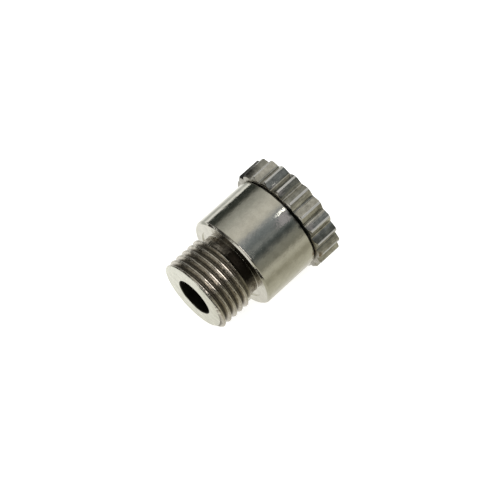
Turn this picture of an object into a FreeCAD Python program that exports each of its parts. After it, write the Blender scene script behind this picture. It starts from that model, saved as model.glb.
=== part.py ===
import FreeCAD, Part
import math
import os

# Screw-down chronograph pusher of a wristwatch, in millimetres.
# The pusher's axis is X. The case lies towards -X and the wearer's finger presses from +X.
# The origin is the centre of the shoulder that seats on the case. +Z is up.
# It is drawn at rest: locking collar screwed home, button out.

# Case thread, its neck and the bore behind it, all on the case tube
CASE_THREAD_R = 1.75
CASE_THREAD_PITCH = 0.33
CASE_THREAD_DEPTH = 0.19
CASE_THREAD_CREST = 0.085
CREST_BREAK = 0.02
CASE_THREAD_PHASE = 0.245
CASE_THREAD_PHASE_ANGLE = 21.7
STUB_LENGTH = 2.21
RIM_CHAMFER = 0.05
NECK_R = 1.50
NECK_LENGTH = 0.40
NECK_FILLET = 0.06
BORE_R = 0.88
BORE_MOUTH_CHAMFER = 0.04
FLANK_SLOPE = math.tan(math.radians(30))

# Barrel of the case tube, with its shoulder and the shallow relief round the neck
BARREL_R = 2.24
BARREL_LENGTH = 2.75
SHOULDER_CHAMFER = 0.09
SHOULDER_RELIEF_R = 1.78
SHOULDER_RELIEF_DEPTH = 0.05
BARREL_END_CHAMFER = 0.04
CAVITY_FLOOR = 0.40

# Stem, and what guides and seals it inside the tube
STEM_R = 0.45
STEM_CLEARANCE = 0.03
STEM_TIP_CHAMFER = 0.06
TIP_RECESS = 0.59
WEB_THICKNESS = 0.18
SEAL_SECTION_R = 0.14
SEAL_CLEARANCE = 0.01
SPACER_THICKNESS = 0.12
BUSH_R = 1.05
BUSH_THICKNESS = 0.30
SEAT_THICKNESS = 0.12
SEAT_EDGE_CLEARANCE = 0.06
SEAT_HOLE_R = 0.70

# Retaining clip on the stem, which stops the button when the collar is unscrewed
CLIP_THICKNESS = 0.14
CLIP_REACH = 0.10
CLIP_GAP_ANGLE = 70
CLIP_GROOVE_DEPTH = 0.10
CLIP_CLEARANCE = 0.01

# Locking thread between the tube's spigot and the collar
SPIGOT_WALL = 0.33
SPIGOT_LENGTH = 0.73
SPIGOT_RELIEF = 0.25
LOCK_THREAD_PITCH = 0.25
LOCK_THREAD_DEPTH = 0.11
LOCK_THREAD_CREST = 0.05
LOCK_THREAD_RADIAL_CLEARANCE = 0.03
LOCK_THREAD_FLANK_CLEARANCE = 0.02
UNSCREW_TURNS = 2

# Locking collar
COLLAR_GAP = 0.04
COLLAR_LENGTH = 1.16
COLLAR_CREST_R = 2.55
COLLAR_WALL = 0.22
FLUTES = 21
FLUTE_DEPTH = 0.21
FLUTE_CREST_WIDTH = 0.07
FLUTE_VALLEY_SPREAD = 0.14
FIRST_CREST_ANGLE = 17.14
COLLAR_INNER_CHAMFER = 0.09
COLLAR_OUTER_ROUND = 0.05
COLLAR_MOUTH_CHAMFER = 0.05
COLLAR_THREAD_LENGTH = 0.48
COLLAR_RELIEF_CLEARANCE = 0.05
LIP_THICKNESS = 0.28
LIP_EDGE_BREAK = 0.05

# Slip ring between the collar's lip and the button's flange
SLIP_RING_THICKNESS = 0.12
SLIP_RING_CLEARANCE = 0.02
SLIP_RING_SIDE_CLEARANCE = 0.07

# Button
BUTTON_FLANGE = 0.13
BUTTON_CLEARANCE = 0.04
BUTTON_EDGE_PROUD = 0.02
BUTTON_DOME = 0.08
BUTTON_EDGE_ROUND = 0.06
SKIRT_LENGTH = 1.36
SKIRT_WALL = 0.37
CROWN_THICKNESS = 0.46
PRESS_TRAVEL = 0.75
STEM_SPIGOT_R = 0.28
STEM_SPIGOT_LENGTH = 0.50
BUTTON_SEAL_SECTION_R = 0.12
BUTTON_SEAL_CLEARANCE = 0.01
BUTTON_SEAL_SETBACK = 0.50

# Return spring
WIRE_R = 0.09
COIL_SIDE_CLEARANCE = 0.19
COIL_PITCH = 0.60
SPRING_CLEARANCE = 0.005

# Places and radii that several pieces share
STUB_END = -STUB_LENGTH
COLLAR_START = BARREL_LENGTH + COLLAR_GAP
COLLAR_END = COLLAR_START + COLLAR_LENGTH
LIP_FACE = COLLAR_END - LIP_THICKNESS
SLIP_RING_TOP = LIP_FACE - SLIP_RING_CLEARANCE
SLIP_RING_FOOT = SLIP_RING_TOP - SLIP_RING_THICKNESS
FLANGE_TOP = SLIP_RING_FOOT - SLIP_RING_CLEARANCE
SKIRT_FOOT = FLANGE_TOP - SKIRT_LENGTH
CROWN_UNDERSIDE = FLANGE_TOP - CROWN_THICKNESS
SPIGOT_END = BARREL_LENGTH + SPIGOT_LENGTH
UNSCREW_RISE = UNSCREW_TURNS * LOCK_THREAD_PITCH
SEAL_R = STEM_R + 2 * SEAL_SECTION_R + 2 * SEAL_CLEARANCE
SEAL_STACK = 4 * SEAL_SECTION_R + SPACER_THICKNESS + 4 * SEAL_CLEARANCE
BUSH_FOOT = CAVITY_FLOOR - BUSH_THICKNESS
WEB_TOP = BUSH_FOOT - SEAL_STACK
WEB_FOOT = WEB_TOP - WEB_THICKNESS
SEAT_TOP = CAVITY_FLOOR + SEAT_THICKNESS
STEM_TIP = STUB_END + TIP_RECESS
SPIGOT_R = COLLAR_CREST_R - FLUTE_DEPTH - COLLAR_WALL
CAVITY_R = SPIGOT_R - SPIGOT_WALL
SKIRT_R = CAVITY_R - BUTTON_CLEARANCE
BUTTON_HEAD_R = SKIRT_R - BUTTON_FLANGE
LIP_R = BUTTON_HEAD_R + BUTTON_CLEARANCE
COIL_R = SKIRT_R - SKIRT_WALL - COIL_SIDE_CLEARANCE - WIRE_R

ORIGIN = FreeCAD.Vector(0, 0, 0)
AXIS = FreeCAD.Vector(1, 0, 0)


def arc(x, r, radius, start, end):
    """An arc about (x, r) between two angles in degrees, as its middle point and its end point."""
    middle = math.radians((start + end) / 2)
    last = math.radians(end)
    return (
        x + radius * math.cos(middle),
        r + radius * math.sin(middle),
        x + radius * math.cos(last),
        r + radius * math.sin(last),
    )


def turned(outline, sweep=360):
    """A solid turned about the X axis. The outline's corners are (x, radius), or an arc's four numbers."""
    edges = []
    here = outline[0]
    for corner in outline[1:] + outline[:1]:
        there = corner[-2:]
        start = FreeCAD.Vector(here[0], 0, here[1])
        end = FreeCAD.Vector(there[0], 0, there[1])
        if len(corner) == 4:
            middle = FreeCAD.Vector(corner[0], 0, corner[1])
            edges.append(Part.Arc(start, middle, end).toShape())
        else:
            edges.append(Part.LineSegment(start, end).toShape())
        here = there
    return Part.Face(Part.Wire(edges)).revolve(ORIGIN, AXIS, sweep)


def ring(foot, top, inner, outer):
    """A plain flat ring from one place on the axis to another."""
    return turned([(foot, inner), (top, inner), (top, outer), (foot, outer)])


def o_ring(centre_x, centre_r, section_r):
    """A rubber ring of round section."""
    return Part.makeTorus(centre_r, section_r, FreeCAD.Vector(centre_x, 0, 0), AXIS)


def screw_groove(start, end, pitch, section):
    """The space that a right-hand screw groove takes. The section is (half width, radius) pairs, inner first.
    The groove's middle line leaves -Z at the start."""
    mean_r = (section[0][1] + section[-1][1]) / 2
    path = Part.makeLongHelix(pitch, end - start, mean_r)
    path.rotate(ORIGIN, FreeCAD.Vector(0, 1, 0), 90)
    path.translate(FreeCAD.Vector(start, 0, 0))
    near = [FreeCAD.Vector(start - half, 0, -r) for half, r in section]
    far = [FreeCAD.Vector(start + half, 0, -r) for half, r in reversed(section)]
    profile = Part.makePolygon(near + far + near[:1])
    return Part.Wire(path.Edges).makePipeShell([profile], True, True)


def case_thread_groove():
    """Sixty degree groove that leaves narrow crests with broken edges. It enters at the stub's end face."""
    depth = CASE_THREAD_DEPTH
    half_top = (CASE_THREAD_PITCH - CASE_THREAD_CREST) / 2
    half_root = half_top - (depth - CREST_BREAK) * FLANK_SLOPE
    half_outer = half_top + 1.5 * CREST_BREAK
    section = [
        (half_root, CASE_THREAD_R - depth),
        (half_top, CASE_THREAD_R - CREST_BREAK),
        (half_outer, CASE_THREAD_R + CREST_BREAK / 2),
    ]
    half_turn = 180
    turns_before = 1 + (half_turn + CASE_THREAD_PHASE_ANGLE) / 360
    start = STUB_END + CASE_THREAD_PHASE - turns_before * CASE_THREAD_PITCH
    return screw_groove(start, -NECK_LENGTH + half_outer, CASE_THREAD_PITCH, section)


def lock_thread_start():
    return BARREL_LENGTH + SPIGOT_RELIEF / 2


def lock_thread_half(r):
    """Half the width of the spigot's thread ridge at a radius."""
    return LOCK_THREAD_CREST / 2 + (SPIGOT_R - r) * FLANK_SLOPE


def spigot_thread_groove():
    """The groove between the ridges of the spigot's thread."""
    root = SPIGOT_R - LOCK_THREAD_DEPTH
    beyond = LOCK_THREAD_CREST / 3
    section = [(LOCK_THREAD_PITCH / 2 - lock_thread_half(r), r) for r in (root, SPIGOT_R + beyond)]
    start = lock_thread_start()
    return screw_groove(start, start + SPIGOT_LENGTH, LOCK_THREAD_PITCH, section)


def collar_thread_groove():
    """The groove in the collar that the spigot's ridge runs in, half a pitch along from the spigot's groove."""
    root = SPIGOT_R + LOCK_THREAD_RADIAL_CLEARANCE
    inside = collar_bore_r() - LOCK_THREAD_CREST / 3
    section = [(lock_thread_half(r) + LOCK_THREAD_FLANK_CLEARANCE, r) for r in (inside, root)]
    start = lock_thread_start() - 1.5 * LOCK_THREAD_PITCH
    end = COLLAR_START + COLLAR_THREAD_LENGTH + section[0][0]
    return screw_groove(start, end, LOCK_THREAD_PITCH, section)


def collar_bore_r():
    """The collar's bore clears the root of the spigot's thread."""
    return SPIGOT_R - LOCK_THREAD_DEPTH + LOCK_THREAD_RADIAL_CLEARANCE


def case_tube():
    """One turned piece: case thread, neck, shoulder, barrel and the spigot that carries the collar."""
    spigot_root = SPIGOT_R - LOCK_THREAD_DEPTH
    body = turned([
        (STUB_END, BORE_R + BORE_MOUTH_CHAMFER),
        (STUB_END + BORE_MOUTH_CHAMFER, BORE_R),
        (WEB_FOOT, BORE_R),
        (WEB_FOOT, STEM_R + STEM_CLEARANCE),
        (WEB_TOP, STEM_R + STEM_CLEARANCE),
        (WEB_TOP, SEAL_R),
        (BUSH_FOOT, SEAL_R),
        (BUSH_FOOT, BUSH_R),
        (CAVITY_FLOOR, BUSH_R),
        (CAVITY_FLOOR, CAVITY_R),
        (SPIGOT_END, CAVITY_R),
        (SPIGOT_END, SPIGOT_R - LOCK_THREAD_CREST),
        (SPIGOT_END - LOCK_THREAD_CREST, SPIGOT_R),
        (BARREL_LENGTH + SPIGOT_RELIEF, SPIGOT_R),
        (BARREL_LENGTH + SPIGOT_RELIEF, spigot_root),
        (BARREL_LENGTH, spigot_root),
        (BARREL_LENGTH, BARREL_R - BARREL_END_CHAMFER),
        (BARREL_LENGTH - BARREL_END_CHAMFER, BARREL_R),
        (SHOULDER_CHAMFER, BARREL_R),
        (0, BARREL_R - SHOULDER_CHAMFER),
        (0, SHOULDER_RELIEF_R),
        (SHOULDER_RELIEF_DEPTH, SHOULDER_RELIEF_R),
        (SHOULDER_RELIEF_DEPTH, NECK_R + NECK_FILLET),
        arc(SHOULDER_RELIEF_DEPTH - NECK_FILLET, NECK_R + NECK_FILLET, NECK_FILLET, 0, -90),
        (-NECK_LENGTH, NECK_R),
        (-NECK_LENGTH - (CASE_THREAD_R - NECK_R) * FLANK_SLOPE, CASE_THREAD_R),
        (STUB_END + RIM_CHAMFER, CASE_THREAD_R),
        (STUB_END, CASE_THREAD_R - RIM_CHAMFER),
    ])
    return body.cut(case_thread_groove()).cut(spigot_thread_groove())


def fluted_bar():
    """A bar with the collar's outline: V flutes with rounded valleys between narrow crests."""
    step = 2 * math.pi / FLUTES
    half_crest = FLUTE_CREST_WIDTH / 2 / COLLAR_CREST_R
    valley_r = COLLAR_CREST_R - FLUTE_DEPTH
    half_valley = FLUTE_VALLEY_SPREAD / 2 / valley_r
    shoulder_r = valley_r + FLUTE_DEPTH * half_valley / (step / 2)

    def at(angle, r):
        return FreeCAD.Vector(COLLAR_START, -r * math.sin(angle), r * math.cos(angle))

    edges = []
    for flute in range(FLUTES):
        crest = math.radians(FIRST_CREST_ANGLE) + flute * step
        valley = crest + step / 2
        start = at(crest - half_crest, COLLAR_CREST_R)
        end = at(crest + half_crest, COLLAR_CREST_R)
        down = at(valley - half_valley, shoulder_r)
        bottom = at(valley, valley_r)
        up = at(valley + half_valley, shoulder_r)
        following = at(crest + step - half_crest, COLLAR_CREST_R)
        edges.append(Part.LineSegment(start, end).toShape())
        edges.append(Part.LineSegment(end, down).toShape())
        edges.append(Part.Arc(down, bottom, up).toShape())
        edges.append(Part.LineSegment(up, following).toShape())
    return Part.Face(Part.Wire(edges)).extrude(FreeCAD.Vector(COLLAR_LENGTH, 0, 0))


def locking_collar():
    """Fluted ring with a short thread inside, then a relief for the spigot's end, and a lip over the slip ring."""
    bore = collar_bore_r()
    relief_r = SPIGOT_R + LOCK_THREAD_RADIAL_CLEARANCE + LOCK_THREAD_FLANK_CLEARANCE
    thread_end = COLLAR_START + COLLAR_THREAD_LENGTH
    relief_end = SPIGOT_END + COLLAR_RELIEF_CLEARANCE
    envelope = turned([
        (COLLAR_START, bore + COLLAR_MOUTH_CHAMFER),
        (COLLAR_START, COLLAR_CREST_R - COLLAR_INNER_CHAMFER),
        (COLLAR_START + COLLAR_INNER_CHAMFER, COLLAR_CREST_R),
        (COLLAR_END - COLLAR_OUTER_ROUND, COLLAR_CREST_R),
        arc(COLLAR_END - COLLAR_OUTER_ROUND, COLLAR_CREST_R - COLLAR_OUTER_ROUND, COLLAR_OUTER_ROUND, 90, 0),
        (COLLAR_END, LIP_R + LIP_EDGE_BREAK),
        (COLLAR_END - LIP_EDGE_BREAK, LIP_R),
        (LIP_FACE, LIP_R),
        (LIP_FACE, bore),
        (relief_end, bore),
        (relief_end, relief_r),
        (thread_end, relief_r),
        (thread_end, bore),
        (COLLAR_START + COLLAR_MOUTH_CHAMFER, bore),
    ])
    return envelope.common(fluted_bar()).cut(collar_thread_groove())


def button():
    """Cap with a domed head, a flange under the slip ring and a skirt that slides in the tube."""
    edge = COLLAR_END + BUTTON_EDGE_PROUD
    flat_r = BUTTON_HEAD_R - BUTTON_EDGE_ROUND
    dome_r = (flat_r ** 2 + BUTTON_DOME ** 2) / (2 * BUTTON_DOME)
    dome_centre = edge + BUTTON_DOME - dome_r
    dome_angle = math.degrees(math.asin(flat_r / dome_r))
    groove_width = 2 * (BUTTON_SEAL_SECTION_R + BUTTON_SEAL_CLEARANCE)
    groove_foot = SKIRT_FOOT + BUTTON_SEAL_SETBACK
    groove_r = CAVITY_R - groove_width
    spigot_top = CROWN_UNDERSIDE + STEM_SPIGOT_LENGTH
    return turned([
        (spigot_top, 0),
        (spigot_top, STEM_SPIGOT_R),
        (CROWN_UNDERSIDE, STEM_SPIGOT_R),
        (CROWN_UNDERSIDE, SKIRT_R - SKIRT_WALL),
        (SKIRT_FOOT, SKIRT_R - SKIRT_WALL),
        (SKIRT_FOOT, SKIRT_R),
        (groove_foot, SKIRT_R),
        (groove_foot, groove_r),
        (groove_foot + groove_width, groove_r),
        (groove_foot + groove_width, SKIRT_R),
        (FLANGE_TOP, SKIRT_R),
        (FLANGE_TOP, BUTTON_HEAD_R),
        (edge - BUTTON_EDGE_ROUND, BUTTON_HEAD_R),
        arc(edge - BUTTON_EDGE_ROUND, flat_r, BUTTON_EDGE_ROUND, 90, 0),
        arc(dome_centre, 0, dome_r, dome_angle, 0),
    ])


def button_seal():
    """Rubber ring in the skirt's groove, drawn at the size it has inside the tube."""
    centre_x = SKIRT_FOOT + BUTTON_SEAL_SETBACK + BUTTON_SEAL_SECTION_R + BUTTON_SEAL_CLEARANCE
    centre_r = CAVITY_R - BUTTON_SEAL_CLEARANCE - BUTTON_SEAL_SECTION_R
    return o_ring(centre_x, centre_r, BUTTON_SEAL_SECTION_R)


def clip_foot():
    """The clip meets the web when the collar has been unscrewed all the way."""
    return WEB_FOOT - UNSCREW_RISE - STEM_CLEARANCE - CLIP_THICKNESS


def stem():
    """Steel pin pressed into the button, with a groove for the retaining clip near its tip."""
    groove_foot = clip_foot() - CLIP_CLEARANCE
    groove_top = clip_foot() + CLIP_THICKNESS + CLIP_CLEARANCE
    groove_r = STEM_R - CLIP_GROOVE_DEPTH
    return turned([
        (STEM_TIP, 0),
        (STEM_TIP, STEM_R - STEM_TIP_CHAMFER),
        (STEM_TIP + STEM_TIP_CHAMFER, STEM_R),
        (groove_foot, STEM_R),
        (groove_foot, groove_r),
        (groove_top, groove_r),
        (groove_top, STEM_R),
        (CROWN_UNDERSIDE, STEM_R),
        (CROWN_UNDERSIDE, STEM_SPIGOT_R),
        (CROWN_UNDERSIDE + STEM_SPIGOT_LENGTH, STEM_SPIGOT_R),
        (CROWN_UNDERSIDE + STEM_SPIGOT_LENGTH, 0),
    ])


def retaining_clip():
    """Open spring ring snapped into the stem's groove."""
    foot = clip_foot()
    top = foot + CLIP_THICKNESS
    inner = STEM_R - CLIP_GROOVE_DEPTH + CLIP_CLEARANCE
    outer = BORE_R - CLIP_REACH
    outline = [(foot, inner), (top, inner), (top, outer), (foot, outer)]
    return turned(outline, 360 - CLIP_GAP_ANGLE)


def slip_ring():
    """Flat ring that lets the collar turn without turning the button."""
    outer = collar_bore_r() - SLIP_RING_SIDE_CLEARANCE
    return ring(SLIP_RING_FOOT, SLIP_RING_TOP, LIP_R, outer)


def stem_seal(foot):
    """Rubber ring round the stem, whose recess starts at foot."""
    centre_r = STEM_R + SEAL_CLEARANCE + SEAL_SECTION_R
    return o_ring(foot + SEAL_CLEARANCE + SEAL_SECTION_R, centre_r, SEAL_SECTION_R)


def seal_spacer():
    """Thin ring that keeps the two stem seals apart."""
    foot = WEB_TOP + 2 * SEAL_SECTION_R + 2 * SEAL_CLEARANCE
    return ring(foot, foot + SPACER_THICKNESS, STEM_R + STEM_CLEARANCE, SEAL_R)


def guide_bush():
    """Bush pressed into the cavity floor, which guides the stem and holds the seals in."""
    return ring(BUSH_FOOT, CAVITY_FLOOR, STEM_R + STEM_CLEARANCE, BUSH_R)


def spring_seat():
    """Flat washer on the cavity floor, under the spring."""
    return ring(CAVITY_FLOOR, SEAT_TOP, SEAT_HOLE_R, CAVITY_R - SEAT_EDGE_CLEARANCE)


def coil_point(turn, foot):
    """A point of the coil's middle line and the line's direction there."""
    angle = 2 * math.pi * turn
    rise = COIL_PITCH / (2 * math.pi * COIL_R)
    place = FreeCAD.Vector(foot + COIL_PITCH * turn, COIL_R * math.sin(angle), -COIL_R * math.cos(angle))
    way = FreeCAD.Vector(rise, math.cos(angle), math.sin(angle))
    return place, way.normalize()


def arc_leaving(start, way, end):
    """The arc that leaves start along way and ends at end."""
    chord = end - start
    corner = start + way * (chord.Length ** 2 / (2 * chord.dot(way)))
    weight = chord.dot(way) / chord.Length
    middle = (start + corner * (2 * weight) + end) * (1 / (2 + 2 * weight))
    return Part.Arc(start, middle, end).toShape()


def biarc(start, start_way, end, end_way):
    """Two arcs that meet with one tangent and join two points of a smooth line."""
    chord = end - start
    ways = start_way + end_way
    spread = 2 * (1 - start_way.dot(end_way))
    reach = (-chord.dot(ways) + math.sqrt(chord.dot(ways) ** 2 + spread * chord.dot(chord))) / spread
    meet = (start + end + (start_way - end_way) * reach) * 0.5
    second = arc_leaving(end, end_way * -1, meet)
    second.reverse()
    return [arc_leaving(start, start_way, meet), second]


def return_spring():
    """Open coil spring between the seat washer and the button's crown, as one unbroken wire."""
    foot = SEAT_TOP + WIRE_R + SPRING_CLEARANCE
    top = CROWN_UNDERSIDE - WIRE_R - SPRING_CLEARANCE
    turns = (top - foot) / COIL_PITCH
    steps = math.ceil(4 * turns)
    edges = []
    for step in range(steps):
        start, start_way = coil_point(step * turns / steps, foot)
        end, end_way = coil_point((step + 1) * turns / steps, foot)
        edges += biarc(start, start_way, end, end_way)
    start, start_way = coil_point(0, foot)
    section = Part.Wire(Part.makeCircle(WIRE_R, start, start_way))
    return Part.Wire(edges).makePipeShell([section], True, False)


def coil_gap():
    """The least gap between neighbouring turns of the spring, measured on points of its middle line."""
    here = coil_point(0, 0)[0]
    gaps = []
    for step in range(80, 161):
        gaps.append((coil_point(step / 100, 0)[0] - here).Length - 2 * WIRE_R)
    return min(gaps)


PIECES = {
    "case_tube": case_tube(),
    "inner_stem_seal": stem_seal(WEB_TOP),
    "seal_spacer": seal_spacer(),
    "outer_stem_seal": stem_seal(BUSH_FOOT - 2 * SEAL_SECTION_R - 2 * SEAL_CLEARANCE),
    "guide_bush": guide_bush(),
    "spring_seat": spring_seat(),
    "return_spring": return_spring(),
    "stem": stem(),
    "retaining_clip": retaining_clip(),
    "button": button(),
    "button_seal": button_seal(),
    "slip_ring": slip_ring(),
    "locking_collar": locking_collar(),
}

os.makedirs("parts", exist_ok=True)
for name, shape in PIECES.items():
    shape.exportStep("parts/" + name + ".step")
    print(name, "solids", len(shape.Solids), "volume", round(shape.Volume, 4), "valid", shape.isValid())
print("least gap between the spring's turns", round(coil_gap(), 3))
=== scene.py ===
import bpy
import math
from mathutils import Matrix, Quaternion, Vector


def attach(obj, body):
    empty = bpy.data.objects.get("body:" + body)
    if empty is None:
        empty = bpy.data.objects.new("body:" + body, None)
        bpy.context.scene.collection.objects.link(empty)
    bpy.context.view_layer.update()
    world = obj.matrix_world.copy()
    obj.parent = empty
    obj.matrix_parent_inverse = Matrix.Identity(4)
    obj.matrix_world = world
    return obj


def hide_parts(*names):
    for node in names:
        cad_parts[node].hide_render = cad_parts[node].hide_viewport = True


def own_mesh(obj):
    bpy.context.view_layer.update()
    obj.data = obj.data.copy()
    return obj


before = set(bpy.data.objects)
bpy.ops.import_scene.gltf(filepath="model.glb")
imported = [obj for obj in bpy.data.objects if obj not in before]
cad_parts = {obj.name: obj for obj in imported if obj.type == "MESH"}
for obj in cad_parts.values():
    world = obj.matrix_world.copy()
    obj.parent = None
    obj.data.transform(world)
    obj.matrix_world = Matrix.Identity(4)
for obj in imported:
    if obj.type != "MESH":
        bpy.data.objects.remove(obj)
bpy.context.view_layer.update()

# Camera. It looks down on the pusher from beside the threaded stub, through a long lens. The view is turned
# a little about the pusher's axis, because the pusher has rolled onto a valley of its flutes.
view_azimuth = math.radians(-44.7)
view_elevation = math.radians(65.4)
roll_about_pusher = Quaternion((1, 0, 0), math.radians(3.74))
camera_distance = 0.106
aimed_at = Vector((0.00102, -0.000085, -0.000028))
towards_camera = Vector((
    math.sin(view_azimuth) * math.cos(view_elevation),
    -math.cos(view_azimuth) * math.cos(view_elevation),
    math.sin(view_elevation),
))
bpy.ops.object.camera_add(location=roll_about_pusher @ (aimed_at + towards_camera * camera_distance))
camera = bpy.context.object
camera.name = "camera"
camera.rotation_mode = "QUATERNION"
camera.rotation_quaternion = roll_about_pusher @ (-towards_camera).to_track_quat("-Z", "Y")
camera.data.lens = 180
camera.data.sensor_width = 36
camera.data.clip_start = 0.005
camera.data.clip_end = 20
bpy.context.scene.camera = camera
bpy.context.scene.view_settings.view_transform = "Standard"

# Studio light. A soft tent lights everything plainly. In polished metal it shows as long soft bands that
# run along the pusher, with a darker gap where the camera stands.
def fill_ramp(ramp, stops, low, high):
    """Gives a ramp its stops, each a place between low and high with the colour there."""
    while len(ramp.elements) < len(stops):
        ramp.elements.new(0.5)
    for stop, (place, colour) in zip(ramp.elements, stops):
        stop.position = (place - low) / (high - low)
        stop.color = colour + (1,)


tent = bpy.data.worlds.new("studio_tent")
bpy.context.scene.world = tent
tent.use_nodes = True
tent_nodes = tent.node_tree.nodes
tent_links = tent.node_tree.links
tent_nodes.clear()
tent_direction = tent_nodes.new("ShaderNodeTexCoord")
tent_split = tent_nodes.new("ShaderNodeSeparateXYZ")
tent_links.new(tent_direction.outputs["Generated"], tent_split.inputs[0])
tent_flip = tent_nodes.new("ShaderNodeMath")
tent_flip.operation = "MULTIPLY"
tent_flip.inputs[1].default_value = -1
tent_links.new(tent_split.outputs["Y"], tent_flip.inputs[0])
tent_turn = tent_nodes.new("ShaderNodeMath")
tent_turn.operation = "ARCTAN2"
tent_links.new(tent_flip.outputs[0], tent_turn.inputs[0])
tent_links.new(tent_split.outputs["Z"], tent_turn.inputs[1])
tent_share = tent_nodes.new("ShaderNodeMapRange")
tent_share.inputs["From Min"].default_value = -math.pi
tent_share.inputs["From Max"].default_value = math.pi
tent_links.new(tent_turn.outputs[0], tent_share.inputs["Value"])
tent_bands = tent_nodes.new("ShaderNodeValToRGB")
tent_links.new(tent_share.outputs["Result"], tent_bands.inputs["Fac"])
# Degrees round the pusher's axis, from straight up towards -Y, with the colour seen there.
band_stops = [
    (-180, (0.80, 0.80, 0.74)), (-95, (0.03, 0.035, 0.03)), (-78, (0.045, 0.05, 0.042)),
    (-71, (0.18, 0.18, 0.16)), (-65, (0.33, 0.33, 0.30)), (-50, (0.42, 0.42, 0.38)),
    (-34, (0.60, 0.59, 0.54)), (-16, (0.66, 0.64, 0.58)), (-5, (0.58, 0.57, 0.52)),
    (3, (0.36, 0.37, 0.38)), (11, (0.21, 0.235, 0.25)), (22, (0.16, 0.18, 0.19)),
    (31, (0.23, 0.245, 0.245)), (39, (0.10, 0.115, 0.115)), (46, (0.06, 0.07, 0.068)),
    (54, (0.13, 0.135, 0.125)), (61, (0.25, 0.25, 0.215)), (79, (0.245, 0.24, 0.195)),
    (86, (0.48, 0.465, 0.39)), (100, (0.55, 0.53, 0.44)), (150, (0.5, 0.5, 0.42)),
]
fill_ramp(tent_bands.color_ramp, band_stops, -180, 180)

# Beyond the stub the tent is dark in the middle, which gives the case thread its black roots. At its far
# end, almost in line with the pusher, a white wall lights the faces that look that way.
gap_colours = tent_nodes.new("ShaderNodeValToRGB")
tent_links.new(tent_share.outputs["Result"], gap_colours.inputs["Fac"])
gap_stops = [
    (-180, (0.30, 0.30, 0.26)), (-96, (0.32, 0.31, 0.28)), (-87, (0.22, 0.21, 0.19)),
    (-77, (0.02, 0.02, 0.018)), (-63, (0.02, 0.02, 0.018)), (-56, (0.17, 0.158, 0.138)),
    (-40, (0.25, 0.24, 0.21)), (-16, (0.23, 0.22, 0.19)), (-3, (0.12, 0.11, 0.095)),
    (8, (0.035, 0.03, 0.026)), (62, (0.03, 0.027, 0.022)), (73, (0.60, 0.58, 0.46)),
    (90, (0.52, 0.50, 0.40)), (150, (0.42, 0.41, 0.33)),
]
fill_ramp(gap_colours.color_ramp, gap_stops, -180, 180)
gap_share = tent_nodes.new("ShaderNodeMapRange")
gap_share.interpolation_type = "SMOOTHSTEP"
gap_share.inputs["From Min"].default_value = 0.10
gap_share.inputs["From Max"].default_value = -0.15
tent_links.new(tent_split.outputs["X"], gap_share.inputs["Value"])
tent_gap = tent_nodes.new("ShaderNodeMix")
tent_gap.data_type = "RGBA"
tent_links.new(gap_share.outputs["Result"], tent_gap.inputs["Factor"])
tent_links.new(tent_bands.outputs["Color"], tent_gap.inputs["A"])
tent_links.new(gap_colours.outputs["Color"], tent_gap.inputs["B"])
wall_share = tent_nodes.new("ShaderNodeMapRange")
wall_share.interpolation_type = "SMOOTHSTEP"
wall_share.inputs["From Min"].default_value = -0.90
wall_share.inputs["From Max"].default_value = -0.94
tent_links.new(tent_split.outputs["X"], wall_share.inputs["Value"])
tent_wall = tent_nodes.new("ShaderNodeMix")
tent_wall.data_type = "RGBA"
tent_wall.inputs["B"].default_value = (1.0, 0.99, 0.95, 1)
tent_links.new(wall_share.outputs["Result"], tent_wall.inputs["Factor"])
tent_links.new(tent_gap.outputs["Result"], tent_wall.inputs["A"])
tent_path = tent_nodes.new("ShaderNodeLightPath")
tent_pick = tent_nodes.new("ShaderNodeMix")
tent_pick.data_type = "RGBA"
tent_pick.inputs["A"].default_value = (1, 1, 1, 1)
tent_links.new(tent_path.outputs["Is Glossy Ray"], tent_pick.inputs["Factor"])
tent_links.new(tent_wall.outputs["Result"], tent_pick.inputs["B"])
tent_glow = tent_nodes.new("ShaderNodeBackground")
tent_links.new(tent_pick.outputs["Result"], tent_glow.inputs["Color"])
tent_out = tent_nodes.new("ShaderNodeOutputWorld")
tent_links.new(tent_glow.outputs[0], tent_out.inputs["Surface"])

# Floor. A sheet of white card that the pusher lies on, resting on the collar's flutes. The camera sees it
# a little brighter than its light makes it, as a pale backdrop.
floor_z = -0.00253
bpy.ops.object.select_all(action="DESELECT")
bpy.ops.mesh.primitive_plane_add(size=0.8, location=(0, 0, floor_z))
floor = bpy.context.object
floor.name = "floor"
card = bpy.data.materials.new("white_card")
card.use_nodes = True
card_nodes = card.node_tree.nodes
card_links = card.node_tree.links
card_nodes.clear()
card_matt = card_nodes.new("ShaderNodeBsdfDiffuse")
card_matt.inputs["Color"].default_value = (0.9, 0.9, 0.88, 1)
card_white = card_nodes.new("ShaderNodeEmission")
card_white.inputs["Color"].default_value = (1, 1, 1, 1)
card_white.inputs["Strength"].default_value = 0.55
card_both = card_nodes.new("ShaderNodeAddShader")
card_links.new(card_matt.outputs[0], card_both.inputs[0])
card_links.new(card_white.outputs[0], card_both.inputs[1])
card_path = card_nodes.new("ShaderNodeLightPath")
card_seen = card_nodes.new("ShaderNodeMath")
card_seen.operation = "MAXIMUM"
card_links.new(card_path.outputs["Is Camera Ray"], card_seen.inputs[0])
card_links.new(card_path.outputs["Is Transmission Ray"], card_seen.inputs[1])
card_mix = card_nodes.new("ShaderNodeMixShader")
card_links.new(card_seen.outputs[0], card_mix.inputs["Fac"])
card_links.new(card_matt.outputs[0], card_mix.inputs[1])
card_links.new(card_both.outputs[0], card_mix.inputs[2])
card_out = card_nodes.new("ShaderNodeOutputMaterial")
card_links.new(card_mix.outputs[0], card_out.inputs["Surface"])
floor.data.materials.append(card)

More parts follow.
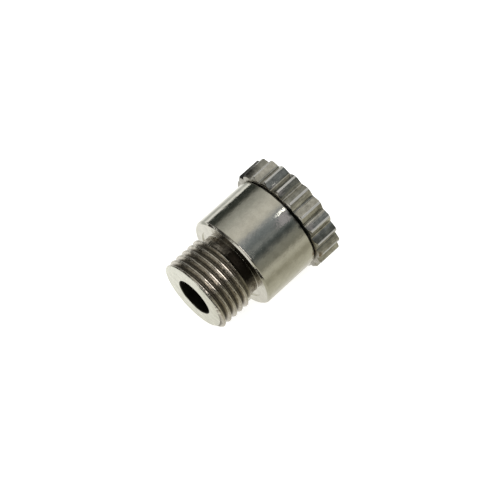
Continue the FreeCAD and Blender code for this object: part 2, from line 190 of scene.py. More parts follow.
# Reflection cards. Sheets and small cards that show only in reflections. A graded sheet lies on the floor
# round the pusher, a dark one beyond the stub, and three small cards above throw the glints. Each has its
# height and its corners in millimetres, and its colour.
for name, height, corners, shade in [
    ("graded_sheet", -2.51, [(-7.5, -395), (390, -395), (-7.5, 395), (390, 395)], None),
    ("dark_sheet", -2.51, [(-390, -60), (-7.5, -60), (-390, 60), (-7.5, 60)], (0.03, 0.026, 0.02)),
    ("thread_glint", 6, [(-0.8, -0.8), (0.65, -0.8), (-0.1, -5.2), (1.3, -5.2)], (3.2, 3.0, 2.9)),
    ("barrel_glint", 6, [(3.55, -1.12), (3.95, -1.12), (3.6, -1.45), (4.0, -1.45)], (3.5, 3.5, 3.4)),
    ("barrel_glow", 6.1, [(3.4, -1.7), (4.0, -1.7), (3.6, -4.0), (4.3, -4.0)], (0.42, 0.40, 0.43)),
]:
    bpy.ops.object.select_all(action="DESELECT")
    bpy.ops.mesh.primitive_plane_add(size=0.001)
    reflector = bpy.context.object
    reflector.name = name
    for vertex, corner in zip(reflector.data.vertices, corners):
        vertex.co = Vector((*corner, height)) / 1000
    matt = bpy.data.materials.new(name)
    matt.use_nodes = True
    matt.node_tree.nodes.clear()
    matt_glow = matt.node_tree.nodes.new("ShaderNodeEmission")
    matt_out = matt.node_tree.nodes.new("ShaderNodeOutputMaterial")
    matt.node_tree.links.new(matt_glow.outputs[0], matt_out.inputs["Surface"])
    if shade is None:
        sheet_place = matt.node_tree.nodes.new("ShaderNodeTexCoord")
        sheet_split = matt.node_tree.nodes.new("ShaderNodeSeparateXYZ")
        matt.node_tree.links.new(sheet_place.outputs["Object"], sheet_split.inputs[0])
        sheet_share = matt.node_tree.nodes.new("ShaderNodeMapRange")
        sheet_share.inputs["From Min"].default_value = -0.04
        sheet_share.inputs["From Max"].default_value = 0.04
        matt.node_tree.links.new(sheet_split.outputs["Y"], sheet_share.inputs["Value"])
        sheet_tint = matt.node_tree.nodes.new("ShaderNodeValToRGB")
        matt.node_tree.links.new(sheet_share.outputs["Result"], sheet_tint.inputs["Fac"])
        matt.node_tree.links.new(sheet_tint.outputs["Color"], matt_glow.inputs["Color"])
        # Millimetres along Y, with the sheet's colour there.
        sheet_stops = [
            (-40, (0.54, 0.53, 0.44)), (-19, (0.47, 0.455, 0.37)), (-12, (0.37, 0.355, 0.275)),
            (-8.4, (0.39, 0.375, 0.295)), (-5.4, (0.52, 0.505, 0.41)), (-3.6, (0.60, 0.585, 0.49)),
            (-2, (0.80, 0.78, 0.72)), (5.5, (1.1, 1.1, 1.06)), (8, (0.50, 0.51, 0.48)),
            (10.6, (0.55, 0.56, 0.53)), (13.5, (1.0, 1.0, 0.97)), (21, (1.05, 1.05, 1.0)),
            (23.5, (0.03, 0.035, 0.03)), (40, (0.03, 0.035, 0.03)),
        ]
        fill_ramp(sheet_tint.color_ramp, sheet_stops, -40, 40)
    else:
        matt_glow.inputs["Color"].default_value = shade + (1,)
    reflector.data.materials.append(matt)
    reflector.visible_camera = False
    reflector.visible_diffuse = False
    reflector.visible_shadow = False

# Case tube. One piece of polished steel turned on a lathe: the stub with its fine case thread, a neck, the
# plain barrel and, under the collar, the spigot with the locking thread. Its bore holds everything else.
def eased(corners):
    """The corners (x, radius, ease) of a turned outline, with each eased corner rounded off. A long
    straight also gets a guard point beside the rounding, which keeps its shading flat."""
    curve_steps = 4
    guard = 1.8
    long_straight = 4
    points = []
    for n, (x, r, ease) in enumerate(corners):
        if ease == 0:
            points.append((x, r))
            continue
        corner = Vector((x, r))
        before = Vector(corners[n - 1][:2]) - corner
        after = Vector(corners[(n + 1) % len(corners)][:2]) - corner
        before_way = before.normalized()
        after_way = after.normalized()
        if before.length > long_straight * ease:
            points.append(tuple(corner + before_way * ease * guard))
        start = corner + before_way * ease
        end = corner + after_way * ease
        for step in range(curve_steps + 1):
            t = step / curve_steps
            points.append(tuple(start * (1 - t) ** 2 + corner * 2 * t * (1 - t) + end * t ** 2))
        if after.length > long_straight * ease:
            points.append(tuple(corner + after_way * ease * guard))
    return points


def turned(name, outline, steps=240, sweep=360):
    """A body turned about the pusher's axis from an outline in millimetres."""
    bpy.ops.object.select_all(action="DESELECT")
    bpy.ops.mesh.primitive_circle_add(vertices=len(outline), radius=1)
    piece = bpy.context.object
    piece.name = name
    for vertex, (x, r) in zip(piece.data.vertices, outline):
        vertex.co = (x, 0, r)
    bpy.ops.object.mode_set(mode="EDIT")
    bpy.ops.mesh.select_all(action="SELECT")
    bpy.ops.mesh.spin(steps=steps, angle=math.radians(sweep), center=(0, 0, 0), axis=(1, 0, 0))
    bpy.ops.mesh.select_all(action="SELECT")
    bpy.ops.mesh.remove_doubles(threshold=0.00001)
    bpy.ops.mesh.dissolve_degenerate(threshold=0.000001)
    if sweep < 360:
        bpy.ops.mesh.select_all(action="DESELECT")
        bpy.ops.mesh.select_non_manifold()
        bpy.ops.mesh.fill_holes(sides=0)
        bpy.ops.mesh.select_all(action="SELECT")
    bpy.ops.mesh.normals_make_consistent(inside=False)
    bpy.ops.object.mode_set(mode="OBJECT")
    return piece


def close_ends():
    """Closes the two open ends of the winding just made, and turns its faces outwards."""
    bpy.ops.object.mode_set(mode="EDIT")
    bpy.ops.mesh.select_all(action="DESELECT")
    bpy.ops.mesh.select_non_manifold()
    bpy.ops.mesh.fill_holes(sides=0)
    bpy.ops.mesh.select_all(action="SELECT")
    bpy.ops.mesh.normals_make_consistent(inside=False)
    bpy.ops.object.mode_set(mode="OBJECT")


def screw_cutter(name, section, pitch, start, turns):
    """The body of a right-hand screw groove, from (x, radius) corners about the groove's middle."""
    bpy.ops.object.select_all(action="DESELECT")
    bpy.ops.mesh.primitive_circle_add(vertices=len(section), radius=1)
    cutter = bpy.context.object
    cutter.name = name
    for vertex, (x, r) in zip(cutter.data.vertices, section):
        vertex.co = (start + x, 0, -r)
    screw = cutter.modifiers.new("screw", "SCREW")
    screw.axis = "X"
    screw.angle = math.radians(360)
    screw.screw_offset = pitch
    screw.iterations = turns
    screw.steps = 120
    screw.render_steps = 120
    screw.use_smooth_shade = False
    bpy.ops.object.modifier_apply(modifier="screw")
    close_ends()
    return cutter


def combine(piece, other, operation):
    """Cuts the other body from the piece, or keeps what both share, and removes the other body."""
    bpy.ops.object.select_all(action="DESELECT")
    bpy.context.view_layer.objects.active = piece
    piece.select_set(True)
    cut = piece.modifiers.new("cut", "BOOLEAN")
    cut.operation = operation
    cut.solver = "EXACT"
    cut.object = other
    bpy.ops.object.modifier_apply(modifier="cut")
    bpy.data.objects.remove(other)


def finished(piece, material, crease=30):
    """Brings a piece from millimetres to its real size, shades it and gives it its material."""
    bpy.ops.object.select_all(action="DESELECT")
    bpy.context.view_layer.objects.active = piece
    piece.select_set(True)
    piece.scale = (0.001, 0.001, 0.001)
    bpy.ops.object.transform_apply(location=True, rotation=True, scale=True)
    bpy.ops.object.shade_smooth_by_angle(angle=math.radians(crease))
    piece.data.materials.clear()
    piece.data.materials.append(material)


def steel(name, light, dark, patch, polish, dull, grain_x, grain_r, grain_depth, ripple=0, facing=0):
    """Bare steel. Its colour and shine drift a little in patches, over fine tool marks and a faint ripple.
    A faced end shows the lathe's rings, facing metres deep."""
    metal = bpy.data.materials.new(name)
    metal.use_nodes = True
    nodes = metal.node_tree.nodes
    links = metal.node_tree.links
    shader = nodes["Principled BSDF"]
    shader.inputs["Metallic"].default_value = 1
    place = nodes.new("ShaderNodeTexCoord")
    drift = nodes.new("ShaderNodeTexNoise")
    drift.inputs["Scale"].default_value = patch
    drift.inputs["Detail"].default_value = 6
    drift.inputs["Roughness"].default_value = 0.65
    links.new(place.outputs["Object"], drift.inputs["Vector"])
    drift_low = 0.35
    drift_high = 0.65
    tint = nodes.new("ShaderNodeValToRGB")
    tint.color_ramp.elements[0].position = drift_low
    tint.color_ramp.elements[0].color = dark + (1,)
    tint.color_ramp.elements[1].position = drift_high
    tint.color_ramp.elements[1].color = light + (1,)
    links.new(drift.outputs["Fac"], tint.inputs["Fac"])
    links.new(tint.outputs["Color"], shader.inputs["Base Color"])
    shine = nodes.new("ShaderNodeMapRange")
    shine.inputs["From Min"].default_value = drift_low
    shine.inputs["From Max"].default_value = drift_high
    shine.inputs["To Min"].default_value = polish
    shine.inputs["To Max"].default_value = dull
    links.new(drift.outputs["Fac"], shine.inputs["Value"])
    links.new(shine.outputs["Result"], shader.inputs["Roughness"])
    along = nodes.new("ShaderNodeMapping")
    along.inputs["Scale"].default_value = (grain_x, grain_r, grain_r)
    links.new(place.outputs["Object"], along.inputs["Vector"])
    grain = nodes.new("ShaderNodeTexNoise")
    grain.inputs["Scale"].default_value = 1
    grain.inputs["Detail"].default_value = 4
    links.new(along.outputs["Vector"], grain.inputs["Vector"])
    height = nodes.new("ShaderNodeBump")
    height.inputs["Distance"].default_value = grain_depth
    links.new(grain.outputs["Fac"], height.inputs["Height"])
    links.new(height.outputs["Normal"], shader.inputs["Normal"])
    if ripple:
        waves = nodes.new("ShaderNodeTexNoise")
        waves.inputs["Scale"].default_value = 4500
        waves.inputs["Detail"].default_value = 3
        waves.inputs["Roughness"].default_value = 0.55
        links.new(place.outputs["Object"], waves.inputs["Vector"])
        swell = nodes.new("ShaderNodeBump")
        swell.inputs["Distance"].default_value = ripple
        links.new(waves.outputs["Fac"], swell.inputs["Height"])
        links.new(swell.outputs["Normal"], height.inputs["Normal"])
    if facing:
        cuts = nodes.new("ShaderNodeTexWave")
        cuts.wave_type = "RINGS"
        cuts.rings_direction = "X"
        cuts.inputs["Scale"].default_value = 6500
        cuts.inputs["Distortion"].default_value = 2.5
        cuts.inputs["Detail"].default_value = 3
        links.new(place.outputs["Object"], cuts.inputs["Vector"])
        furrow = nodes.new("ShaderNodeBump")
        furrow.inputs["Distance"].default_value = facing
        links.new(cuts.outputs["Fac"], furrow.inputs["Height"])
        links.new(height.outputs["Normal"], furrow.inputs["Normal"])
        links.new(furrow.outputs["Normal"], shader.inputs["Normal"])
    return metal


def off_axis(metal):
    """How far each point of the steel lies from the pusher's axis, as a node's output."""
    nodes = metal.node_tree.nodes
    links = metal.node_tree.links
    place = nodes.new("ShaderNodeTexCoord")
    flat = nodes.new("ShaderNodeVectorMath")
    flat.operation = "MULTIPLY"
    flat.inputs[1].default_value = (0, 1, 1)
    links.new(place.outputs["Object"], flat.inputs[0])
    radius = nodes.new("ShaderNodeVectorMath")
    radius.operation = "LENGTH"
    links.new(flat.outputs["Vector"], radius.inputs[0])
    return radius.outputs["Value"]


def dirt_and_shade(metal, kind, near, far, colour):
    """Darkens bare steel towards a colour and dulls it, full at near and gone at far, with an uneven edge.
    It serves both for old oil and dirt and for painted shade; each use says which. Both are distances in
    metres: from the pusher's axis where kind is RADIUS, or else from the spot that kind gives."""
    unevenness = 0.8
    covered_roughness = 0.5
    nodes = metal.node_tree.nodes
    links = metal.node_tree.links
    shader = nodes["Principled BSDF"]
    place = nodes.new("ShaderNodeTexCoord")
    if kind == "RADIUS":
        measured = off_axis(metal)
    else:
        measure = nodes.new("ShaderNodeVectorMath")
        measure.operation = "DISTANCE"
        measure.inputs[1].default_value = kind
        links.new(place.outputs["Object"], measure.inputs[0])
        measured = measure.outputs["Value"]
    cloud = nodes.new("ShaderNodeTexNoise")
    cloud.inputs["Scale"].default_value = 9000
    cloud.inputs["Detail"].default_value = 3
    links.new(place.outputs["Object"], cloud.inputs["Vector"])
    uneven = nodes.new("ShaderNodeMath")
    uneven.operation = "MULTIPLY_ADD"
    uneven.inputs[1].default_value = abs(far - near) * unevenness
    links.new(cloud.outputs["Fac"], uneven.inputs[0])
    links.new(measured, uneven.inputs[2])
    cover = nodes.new("ShaderNodeMapRange")
    shift = abs(far - near) * unevenness / 2
    cover.inputs["From Min"].default_value = near + shift
    cover.inputs["From Max"].default_value = far + shift
    cover.inputs["To Min"].default_value = 1
    cover.inputs["To Max"].default_value = 0
    links.new(uneven.outputs[0], cover.inputs["Value"])
    darkening = nodes.new("ShaderNodeMix")
    darkening.data_type = "RGBA"
    darkening.inputs["B"].default_value = colour + (1,)
    links.new(cover.outputs["Result"], darkening.inputs["Factor"])
    links.new(shader.inputs["Base Color"].links[0].from_socket, darkening.inputs["A"])
    links.new(darkening.outputs["Result"], shader.inputs["Base Color"])
    dulled = nodes.new("ShaderNodeMix")
    dulled.inputs["B"].default_value = covered_roughness
    links.new(cover.outputs["Result"], dulled.inputs["Factor"])
    links.new(shader.inputs["Roughness"].links[0].from_socket, dulled.inputs["A"])
    links.new(dulled.outputs["Result"], shader.inputs["Roughness"])


def painted_crest_highlight(metal, low, high, colour):
    """Painted highlight: makes the steel pale and less metallic at a large radius, fully at high and not
    below low.
    """
    highlight_metallic = 0.3
    nodes = metal.node_tree.nodes
    links = metal.node_tree.links
    shader = nodes["Principled BSDF"]
    highlight_share = nodes.new("ShaderNodeMapRange")
    highlight_share.inputs["From Min"].default_value = low
    highlight_share.inputs["From Max"].default_value = high
    links.new(off_axis(metal), highlight_share.inputs["Value"])
    bright = nodes.new("ShaderNodeMix")
    bright.data_type = "RGBA"
    bright.inputs["B"].default_value = colour + (1,)
    links.new(highlight_share.outputs["Result"], bright.inputs["Factor"])
    links.new(shader.inputs["Base Color"].links[0].from_socket, bright.inputs["A"])
    links.new(bright.outputs["Result"], shader.inputs["Base Color"])
    matt = nodes.new("ShaderNodeMapRange")
    matt.inputs["To Min"].default_value = 1
    matt.inputs["To Max"].default_value = highlight_metallic
    links.new(highlight_share.outputs["Result"], matt.inputs["Value"])
    links.new(matt.outputs["Result"], shader.inputs["Metallic"])


# The outline runs from the bore's edge at the stub's end, along the outside and back through the bore.
stub_end = -2.21
case_tube = turned("case_tube_steel", eased([
    (stub_end, 0.92, 0.01), (stub_end, 1.70, 0.01), (-2.16, 1.75, 0.01), (-0.544, 1.75, 0),
    (-0.40, 1.50, 0.02), (0.05, 1.50, 0.04), (0.05, 1.78, 0.01), (0, 1.78, 0.01), (0, 2.15, 0.015),
    (0.09, 2.24, 0.02), (2.71, 2.24, 0.01), (2.75, 2.20, 0.01), (2.75, 2.01, 0.01), (3.00, 2.01, 0),
    (3.00, 2.12, 0), (3.43, 2.12, 0), (3.48, 2.07, 0.01), (3.48, 1.79, 0.01), (0.40, 1.79, 0.02),
    (0.40, 1.05, 0), (0.10, 1.05, 0), (0.10, 0.75, 0), (-0.62, 0.75, 0), (-0.62, 0.48, 0.01),
    (-0.80, 0.48, 0.01), (-0.80, 0.88, 0.01), (-2.17, 0.88, 0.008),
]))
# The groove starts some turns beyond the stub's end, so that it runs out through the end face.
case_pitch = 0.33
first_crest = 0.245
first_crest_angle = 21.7
turns_before_stub = 4
first_groove = stub_end + first_crest + case_pitch * (0.5 - first_crest_angle / 360)
case_groove = screw_cutter("case_groove", [
    (-0.020, 1.56), (0.020, 1.56), (0.1090, 1.716), (0.1185, 1.728), (0.1310, 1.739), (0.1455, 1.7465),
    (0.1545, 1.765), (-0.1545, 1.765), (-0.1455, 1.7465), (-0.1310, 1.739), (-0.1185, 1.728),
    (-0.1090, 1.716),
], pitch=case_pitch, start=first_groove - turns_before_stub * case_pitch, turns=8)
combine(case_tube, case_groove, "DIFFERENCE")
lock_pitch = 0.25
spigot_groove = screw_cutter("spigot_groove", [
    (-0.0365, 2.01), (0.0365, 2.01), (0.1096, 2.137), (-0.1096, 2.137),
], pitch=lock_pitch, start=2.875, turns=4)
combine(case_tube, spigot_groove, "DIFFERENCE")
tube_steel = steel(
    "tube_steel", light=(0.69, 0.675, 0.61), dark=(0.59, 0.575, 0.515), patch=2600, polish=0.08,
    dull=0.17, grain_x=60000, grain_r=1500, grain_depth=0.0000004, ripple=0.0000065,
)
brown_oil = (0.16, 0.09, 0.02)
dirt_and_shade(tube_steel, (0.00277, -0.00213, 0.0002), near=0.0001, far=0.00024, colour=brown_oil)
# Painted shade: three near-black spots on the barrel's end, in the gap under the collar's flutes.
edge_x = 0.00276
edge_r = 0.00222
for turn in (24, 33, 42):
    shade_wedge = (edge_x, -edge_r * math.sin(math.radians(turn)), edge_r * math.cos(math.radians(turn)))
    dirt_and_shade(tube_steel, shade_wedge, near=0.00006, far=0.00020, colour=(0.04, 0.045, 0.04))
thread_steel = steel(
    "thread_steel", light=(0.68, 0.645, 0.58), dark=(0.42, 0.385, 0.335), patch=5200, polish=0.10,
    dull=0.24, grain_x=30000, grain_r=1200, grain_depth=0.0000008, ripple=0.000012,
)
# The thread is darker towards its roots, with an uneven edge.
dirt_and_shade(thread_steel, "RADIUS", near=0.00156, far=0.00167, colour=(0.15, 0.135, 0.11))
# Painted shade: the neck's steel is darker than the barrel's, and a near-black spot darkens one side of it
# further.
shaded_neck_steel = steel(
    "shaded_neck_steel", light=(0.50, 0.46, 0.40), dark=(0.20, 0.175, 0.15), patch=4200, polish=0.12,
    dull=0.26, grain_x=13000, grain_r=700, grain_depth=0.000014, ripple=0.000008,
)
dirt_and_shade(shaded_neck_steel, (-0.0003, -0.00083, 0.00125), near=0.0007, far=0.0013, colour=(0.02, 0.017, 0.013))
end_steel = steel(
    "end_face_steel", light=(0.78, 0.78, 0.70), dark=(0.62, 0.62, 0.54), patch=3000, polish=0.16,
    dull=0.28, grain_x=1500, grain_r=9000, grain_depth=0.0000008, facing=0.0000008,
)
# Painted shade: the bore's steel is made near black, for the dark inside of the tube.
shaded_bore_steel = steel(
    "shaded_bore_steel", light=(0.06, 0.055, 0.045), dark=(0.03, 0.03, 0.025), patch=2500, polish=0.4,
    dull=0.55, grain_x=9000, grain_r=2500, grain_depth=0.0000005,
)
finished(case_tube, tube_steel)
for other_steel in (end_steel, shaded_bore_steel, thread_steel, shaded_neck_steel):
    case_tube.data.materials.append(other_steel)
end_face_up_to_x = -0.00219
bore_up_to_r = 0.00095
thread_up_to_x = -0.00055
thread_up_to_r = 0.00177
neck_up_to_x = 0.00004
neck_up_to_r = 0.00156
for face in case_tube.data.polygons:
    x = face.center.x
    r = math.hypot(face.center.y, face.center.z)
    if x < end_face_up_to_x:
        face.material_index = 1
    elif r < bore_up_to_r:
        face.material_index = 2
    elif r < thread_up_to_r and x < thread_up_to_x:
        face.material_index = 3
    elif r < neck_up_to_r and x < neck_up_to_x:
        face.material_index = 4
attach(case_tube, "tube")
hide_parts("case_tube")

# Locking collar. A steel ring with 21 milled V flutes to grip it by, threaded inside, with a thin lip at
# its outer end that holds the button in. The flutes are lightly brushed along the pusher.
flute_count = 21
crest_r = 2.55
valley_r = 2.34
flute_depth = 0.21
first_flute_angle = math.radians(17.14)
half_crest = 0.035 / crest_r
half_valley = 0.07 / valley_r
half_step = math.pi / flute_count
valley_edge_r = valley_r + flute_depth * half_valley / half_step
valley_floor_r = valley_r + 0.003
half_floor = half_valley * 0.4
flute_points = []
for flute in range(flute_count):
    crest = first_flute_angle + 2 * half_step * flute
    valley = crest + half_step
    flute_points += [
        (crest - half_crest, crest_r), (crest + half_crest, crest_r),
        (valley - half_valley, valley_edge_r), (valley - half_floor, valley_floor_r),
        (valley + half_floor, valley_floor_r), (valley + half_valley, valley_edge_r),
    ]
bar_start = 2.6
bar_length = 1.6
bpy.ops.object.select_all(action="DESELECT")
bpy.ops.mesh.primitive_circle_add(vertices=len(flute_points), radius=1, fill_type="NGON")
fluted_bar = bpy.context.object
fluted_bar.name = "fluted_bar"
for vertex, (angle, r) in zip(fluted_bar.data.vertices, flute_points):
    vertex.co = (bar_start, -r * math.sin(angle), r * math.cos(angle))
bpy.ops.object.mode_set(mode="EDIT")
bpy.ops.mesh.select_all(action="SELECT")
bpy.ops.mesh.extrude_region_move(TRANSFORM_OT_translate={"value": (bar_length, 0, 0)})
bpy.ops.mesh.select_all(action="SELECT")
bpy.ops.mesh.normals_make_consistent(inside=False)
bpy.ops.object.mode_set(mode="OBJECT")
locking_collar = turned("locking_collar_steel", eased([
    (2.79, 2.09, 0), (2.79, 2.46, 0), (2.88, 2.55, 0), (3.90, 2.55, 0), (3.92, 2.547, 0), (3.938, 2.536, 0),
    (3.947, 2.52, 0), (3.95, 2.50, 0), (3.95, 1.71, 0.01), (3.90, 1.66, 0.01), (3.67, 1.66, 0),
    (3.67, 2.04, 0), (3.53, 2.04, 0), (3.53, 2.17, 0), (3.27, 2.17, 0), (3.27, 2.04, 0), (2.84, 2.04, 0),
]), steps=12 * flute_count)
combine(locking_collar, fluted_bar, "INTERSECT")
bpy.ops.object.mode_set(mode="EDIT")
bpy.ops.mesh.select_mode(type="EDGE")
bpy.ops.mesh.select_all(action="DESELECT")
bpy.ops.mesh.edges_select_sharp(sharpness=math.radians(24))
bpy.ops.object.mode_set(mode="OBJECT")
outside_from_r = 2.25
for edge in locking_collar.data.edges:
    ends = [locking_collar.data.vertices[n].co for n in edge.vertices]
    if min(math.hypot(end.y, end.z) for end in ends) < outside_from_r:
        edge.select = False
bpy.ops.object.mode_set(mode="EDIT")
bpy.ops.mesh.bevel(offset=0.016, segments=2, profile=0.6, clamp_overlap=True)
bpy.ops.object.mode_set(mode="OBJECT")
collar_groove = screw_cutter("collar_groove", [
    (-0.126, 2.023), (0.126, 2.023), (0.028, 2.15), (-0.028, 2.15),
], pitch=lock_pitch, start=2.5, turns=3)
combine(locking_collar, collar_groove, "DIFFERENCE")
collar_steel = steel(
    "collar_steel", light=(0.63, 0.615, 0.56), dark=(0.34, 0.33, 0.295), patch=3000, polish=0.12,
    dull=0.26, grain_x=1500, grain_r=15000, grain_depth=0.000006, ripple=0.000003,
)
# Painted highlight: the flute crests are made pale and less metallic, so they show as bright lines under
# any light.
painted_crest_highlight(collar_steel, low=0.002528, high=0.002547, colour=(0.50, 0.49, 0.46))
# Painted shade: a dark patch on the flutes near the collar's foot, on the +Y side.
dirt_and_shade(collar_steel, (0.00300, 0.00212, 0.00132), near=0.0004, far=0.0008, colour=(0.06, 0.06, 0.055))
dirt_and_shade(collar_steel, (0.00284, -0.00238, 0.0002), near=0.00008, far=0.00022, colour=brown_oil)
# Painted shade: the collar's foot faces the barrel across a narrow gap. Its steel is made darker, and a
# near-black spot darkens it further on one side.
shaded_foot_steel = steel(
    "collar_foot_steel", light=(0.45, 0.43, 0.38), dark=(0.25, 0.24, 0.21), patch=4000, polish=0.2,
    dull=0.32, grain_x=3000, grain_r=3000, grain_depth=0.000003, ripple=0.000004,
)
dirt_and_shade(shaded_foot_steel, (0.00279, -0.00143, 0.00193), near=0.0007, far=0.0011, colour=(0.03, 0.035, 0.03))
face_steel = steel(
    "collar_face_steel", light=(0.62, 0.605, 0.555), dark=(0.52, 0.51, 0.465), patch=2200, polish=0.16,
    dull=0.26, grain_x=2000, grain_r=2000, grain_depth=0.0000004, facing=0.0000012,
)
inside_steel = steel(
    "collar_inside_steel", light=(0.45, 0.44, 0.40), dark=(0.33, 0.32, 0.29), patch=2200, polish=0.18,
    dull=0.28, grain_x=30000, grain_r=1500, grain_depth=0.0000006,
)
finished(locking_collar, collar_steel)
for other_steel in (shaded_foot_steel, face_steel, inside_steel):
    locking_collar.data.materials.append(other_steel)
foot_up_to_x = 0.002795
face_from_x = 0.00394
nearly_square_on = 0.95
inside_up_to_r = 0.0022
for face in locking_collar.data.polygons:
    x = face.center.x
    r = math.hypot(face.center.y, face.center.z)
    if x < foot_up_to_x:
        face.material_index = 1
    elif abs(face.normal.x) > nearly_square_on and x > face_from_x:
        face.material_index = 2
    elif r < inside_up_to_r:
        face.material_index = 3
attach(locking_collar, "collar")
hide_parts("locking_collar")

# Button. A steel cap with a low polished dome. Its flange sits under the collar's lip, and its skirt slides
# in the tube.
dome_top = 4.05
dome_drop = 0.08
dome_r = 1.56
dome_radii = (0, 0.2, 0.4, 0.6, 0.8, 1.0, 1.2, 1.4)
dome = [(dome_top - dome_drop * (r / dome_r) ** 2, r, 0) for r in dome_radii]
button = turned("button_steel_cap", eased([
    (3.55, 0, 0), (3.55, 0.28, 0), (3.05, 0.28, 0), (3.05, 1.38, 0.03), (2.15, 1.38, 0.01),
    (2.15, 1.75, 0.01), (2.65, 1.75, 0), (2.65, 1.53, 0), (2.91, 1.53, 0), (2.91, 1.75, 0),
    (3.51, 1.75, 0.01), (3.51, 1.62, 0), (3.97, 1.62, 0.05), *reversed(dome),
]))
button_steel = steel(
    "button_steel", light=(0.70, 0.69, 0.64), dark=(0.63, 0.62, 0.57), patch=900, polish=0.10,
    dull=0.20, grain_x=3000, grain_r=3000, grain_depth=0.0000003,
)
finished(button, button_steel)
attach(button, "plunger")
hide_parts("button")

# Stem. A ground steel pin pressed into the button. Its rounded tip works the lever inside the case, and the
# groove behind the tip holds the retaining clip.
stem = turned("stem_pin", eased([
    (-1.62, 0, 0), (-1.62, 0.39, 0.02), (-1.56, 0.45, 0.03), (-1.48, 0.45, 0), (-1.48, 0.35, 0),
    (-1.32, 0.35, 0), (-1.32, 0.45, 0), (3.05, 0.45, 0.01), (3.05, 0.28, 0), (3.55, 0.28, 0.01),
    (3.55, 0, 0),
]), steps=96)
stem_steel = steel(
    "stem_steel", light=(0.20, 0.19, 0.17), dark=(0.13, 0.125, 0.11), patch=1800, polish=0.3,
    dull=0.45, grain_x=30000, grain_r=1500, grain_depth=0.0000004,
)
finished(stem, stem_steel)
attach(stem, "plunger")
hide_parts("stem")

# Retaining clip. An open ring of spring steel, snapped into the groove near the stem's tip. It keeps the
# stem and the button from coming out of the tube.
clip = turned("clip_ring", eased([
    (-1.47, 0.36, 0.01), (-1.33, 0.36, 0.01), (-1.33, 0.78, 0.02), (-1.47, 0.78, 0.02),
]), steps=120, sweep=290)
clip_steel = steel(
    "clip_steel", light=(0.16, 0.16, 0.16), dark=(0.10, 0.10, 0.10), patch=1800, polish=0.3, dull=0.42,
    grain_x=4000, grain_r=4000, grain_depth=0.0000004,
)
finished(clip, clip_steel)
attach(clip, "plunger")
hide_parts("retaining_clip")

# Return spring. Bright round wire wound as an open coil. It stands between the seat washer and the button's
# crown, and pushes the button back out.
wire_r = 0.09
coil_start = 0.615
coil_r = 1.10
coil_pitch = 0.60
coil_turns = 3.9
bpy.ops.object.select_all(action="DESELECT")
bpy.ops.mesh.primitive_circle_add(
    vertices=24,
    radius=wire_r,
    location=(coil_start, 0, -coil_r),
    rotation=(math.radians(90), 0, 0),
)
spring = bpy.context.object
spring.name = "return_spring_wire"
bpy.ops.object.transform_apply(location=True, rotation=True, scale=True)
winding = spring.modifiers.new("winding", "SCREW")
winding.axis = "X"
winding.angle = math.radians(360 * coil_turns)
winding.screw_offset = coil_pitch * coil_turns
winding.steps = 300
winding.render_steps = 300
bpy.ops.object.modifier_apply(modifier="winding")
close_ends()
wire_steel = steel(
    "wire_steel", light=(0.55, 0.55, 0.54), dark=(0.46, 0.46, 0.45), patch=2500, polish=0.18,
    dull=0.28, grain_x=9000, grain_r=9000, grain_depth=0.0000003,
)
finished(spring, wire_steel, 40)
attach(spring, "tube")
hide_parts("return_spring")
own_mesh(spring)

# Spring seat. A plain steel washer on the floor of the cavity, stamped from strip. The return spring
# stands on it.
seat = turned("seat_washer", eased([
    (0.40, 0.70, 0.015), (0.52, 0.70, 0.02), (0.52, 1.73, 0.02), (0.40, 1.73, 0.015),
]), steps=160)
washer_steel = steel(
    "washer_steel", light=(0.57, 0.56, 0.53), dark=(0.50, 0.49, 0.46), patch=1500, polish=0.25,
    dull=0.38, grain_x=9000, grain_r=1500, grain_depth=0.0000005,
)
finished(seat, washer_steel)
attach(seat, "tube")
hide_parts("spring_seat")

# Guide bush, seal spacer and slip ring. Turned brass rings with broken edges: the bush is pressed into the
# cavity's floor, the spacer parts the stem seals, and the slip ring runs under the collar's lip.
brass = steel(
    "turned_brass", light=(0.74, 0.60, 0.35), dark=(0.62, 0.48, 0.26), patch=1500, polish=0.22,
    dull=0.34, grain_x=40000, grain_r=1500, grain_depth=0.0000006,
)
broken_edge = 0.012
for name, node, body, foot, top, inner, outer in [
    ("guide_bush_brass", "guide_bush", "tube", 0.10, 0.40, 0.48, 1.05),
    ("seal_spacer_brass", "seal_spacer", "tube", -0.32, -0.20, 0.48, 0.75),
    ("slip_ring_brass", "slip_ring", "carriage", 3.53, 3.65, 1.66, 1.97),
]:
    ring = turned(name, eased([
        (foot, inner, broken_edge), (top, inner, broken_edge), (top, outer, broken_edge),
        (foot, outer, broken_edge),
    ]), steps=160)
    finished(ring, brass)
    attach(ring, body)
    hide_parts(node)

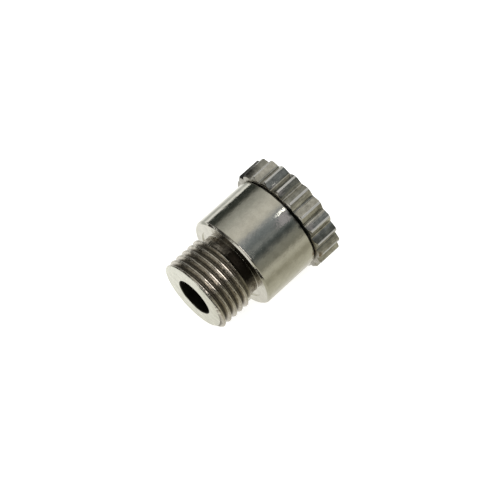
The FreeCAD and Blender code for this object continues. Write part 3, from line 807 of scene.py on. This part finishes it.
# Seals. Three moulded rubber rings, squeezed a little flat where they bear: two round the stem, and one in
# the groove of the button's skirt. The mould leaves a fine parting line on the outside.
rubber = bpy.data.materials.new("seal_rubber")
rubber.use_nodes = True
rubber_nodes = rubber.node_tree.nodes
rubber_links = rubber.node_tree.links
rubber_shader = rubber_nodes["Principled BSDF"]
rubber_place = rubber_nodes.new("ShaderNodeTexCoord")
rubber_bloom = rubber_nodes.new("ShaderNodeTexNoise")
rubber_bloom.inputs["Scale"].default_value = 4000
rubber_bloom.inputs["Detail"].default_value = 5
rubber_links.new(rubber_place.outputs["Object"], rubber_bloom.inputs["Vector"])
rubber_tint = rubber_nodes.new("ShaderNodeValToRGB")
rubber_tint.color_ramp.elements[0].color = (0.018, 0.018, 0.018, 1)
rubber_tint.color_ramp.elements[1].color = (0.045, 0.045, 0.043, 1)
rubber_links.new(rubber_bloom.outputs["Fac"], rubber_tint.inputs["Fac"])
rubber_links.new(rubber_tint.outputs["Color"], rubber_shader.inputs["Base Color"])
rubber_shader.inputs["Roughness"].default_value = 0.62
rubber_skin = rubber_nodes.new("ShaderNodeBump")
rubber_skin.inputs["Distance"].default_value = 0.000002
rubber_links.new(rubber_bloom.outputs["Fac"], rubber_skin.inputs["Height"])
rubber_links.new(rubber_skin.outputs["Normal"], rubber_shader.inputs["Normal"])
section_corners = 32
flattened_to = 0.96
parting_line = 0.004
for name, node, body, x, r, section in [
    ("inner_stem_seal_rubber", "inner_stem_seal", "tube", -0.47, 0.60, 0.14),
    ("outer_stem_seal_rubber", "outer_stem_seal", "tube", -0.05, 0.60, 0.14),
    ("button_seal_rubber", "button_seal", "plunger", 2.78, 1.66, 0.12),
]:
    outline = []
    for step in range(section_corners):
        turn = 2 * math.pi * step / section_corners
        parting = parting_line if step == section_corners // 4 else 0
        across = min(max(math.sin(turn), -flattened_to), flattened_to) + parting
        outline.append((x + section * math.cos(turn), r + section * across))
    seal = turned(name, outline, steps=160)
    finished(seal, rubber, 50)
    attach(seal, body)
    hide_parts(node)
